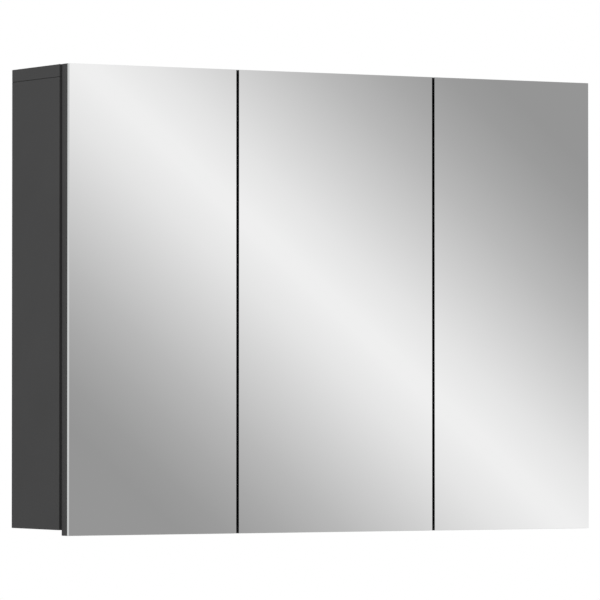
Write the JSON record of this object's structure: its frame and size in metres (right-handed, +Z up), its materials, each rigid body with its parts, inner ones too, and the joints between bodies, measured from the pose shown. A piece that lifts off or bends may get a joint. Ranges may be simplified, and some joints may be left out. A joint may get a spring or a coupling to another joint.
{
  "type": "medicine cabinet",
  "caption": "Wall-hung medicine cabinet: frameless mirrored doors on concealed hinges over shelved compartments.",
  "frame": {"origin": "on the wall plane, at the middle of the top panel's rear edge", "axes": "+X along the cabinet's width, +Y into the wall, +Z up; the mirrored front faces -Y"},
  "size_m": [0.8, 0.158, 0.606],
  "materials": {
    "graphite_board": "matt graphite melamine with a fine grain",
    "back_board": "thin fibreboard, graphite inside and raw brown behind",
    "mirror": "silvered float glass with ground edges",
    "hinge_steel": "nickel-plated pressed steel",
    "hanger_steel": "zinc-plated sheet steel",
    "bumper": "clear soft plastic"
  },
  "bodies": {
    "root": {"top_panel": "graphite_board", "bottom_panel": "graphite_board", "left_side_panel": "graphite_board", "right_side_panel": "graphite_board", "left_partition": "graphite_board", "right_partition": "graphite_board", "back_panel": "back_board", "left_lower_shelf": "graphite_board", "left_upper_shelf": "graphite_board", "middle_lower_shelf": "graphite_board", "middle_upper_shelf": "graphite_board", "right_lower_shelf": "graphite_board", "right_upper_shelf": "graphite_board", "left_wall_hanger_housing": "hanger_steel", "left_wall_hanger_hook": "hanger_steel", "right_wall_hanger_housing": "hanger_steel", "right_wall_hanger_hook": "hanger_steel", "left_upper_hinge_plate": "hinge_steel", "left_upper_hinge_arm": "hinge_steel", "left_lower_hinge_plate": "hinge_steel", "left_lower_hinge_arm": "hinge_steel", "middle_upper_hinge_plate": "hinge_steel", "middle_upper_hinge_arm": "hinge_steel", "middle_lower_hinge_plate": "hinge_steel", "middle_lower_hinge_arm": "hinge_steel", "right_upper_hinge_plate": "hinge_steel", "right_upper_hinge_arm": "hinge_steel", "right_lower_hinge_plate": "hinge_steel", "right_lower_hinge_arm": "hinge_steel"},
    "left_door": {"left_door_board": "graphite_board", "left_door_mirror": "mirror", "left_upper_hinge_cup": "hinge_steel", "left_lower_hinge_cup": "hinge_steel", "left_upper_bumper": "bumper", "left_lower_bumper": "bumper"},
    "middle_door": {"middle_door_board": "graphite_board", "middle_door_mirror": "mirror", "middle_upper_hinge_cup": "hinge_steel", "middle_lower_hinge_cup": "hinge_steel", "middle_upper_bumper": "bumper", "middle_lower_bumper": "bumper"},
    "right_door": {"right_door_board": "graphite_board", "right_door_mirror": "mirror", "right_upper_hinge_cup": "hinge_steel", "right_lower_hinge_cup": "hinge_steel", "right_upper_bumper": "bumper", "right_lower_bumper": "bumper"},
    "left_hinge_links": {"left_upper_hinge_link": "hinge_steel", "left_lower_hinge_link": "hinge_steel"},
    "middle_hinge_links": {"middle_upper_hinge_link": "hinge_steel", "middle_lower_hinge_link": "hinge_steel"},
    "right_hinge_links": {"right_upper_hinge_link": "hinge_steel", "right_lower_hinge_link": "hinge_steel"}
  },
  "joints": [
    {"name": "left_door_swing", "type": "hinge", "parent": "root", "child": "left_door", "pos_m": [-0.3896, -0.151, -0.295], "axis": [0, 0, -1], "range_deg": [0, 95]},
    {"name": "middle_door_swing", "type": "hinge", "parent": "root", "child": "middle_door", "pos_m": [-0.13985, -0.151, -0.295], "axis": [0, 0, -1], "range_deg": [0, 95]},
    {"name": "right_door_swing", "type": "hinge", "parent": "root", "child": "right_door", "pos_m": [0.3896, -0.151, -0.295], "axis": [0, 0, 1], "range_deg": [0, 95]},
    {"name": "left_hinge_links_turn", "type": "hinge", "parent": "root", "child": "left_hinge_links", "pos_m": [-0.369, -0.141, -0.295], "axis": [0, 0, -1], "range_deg": [-18, 0]},
    {"name": "middle_hinge_links_turn", "type": "hinge", "parent": "root", "child": "middle_hinge_links", "pos_m": [-0.11925, -0.141, -0.295], "axis": [0, 0, -1], "range_deg": [-18, 0]},
    {"name": "right_hinge_links_turn", "type": "hinge", "parent": "root", "child": "right_hinge_links", "pos_m": [0.369, -0.141, -0.295], "axis": [0, 0, 1], "range_deg": [-18, 0]}
  ],
  "couplings": [
    {"joint": "left_hinge_links_turn", "follows": "left_door_swing", "ratio": -0.18},
    {"joint": "middle_hinge_links_turn", "follows": "middle_door_swing", "ratio": -0.18},
    {"joint": "right_hinge_links_turn", "follows": "right_door_swing", "ratio": -0.18}
  ]
}
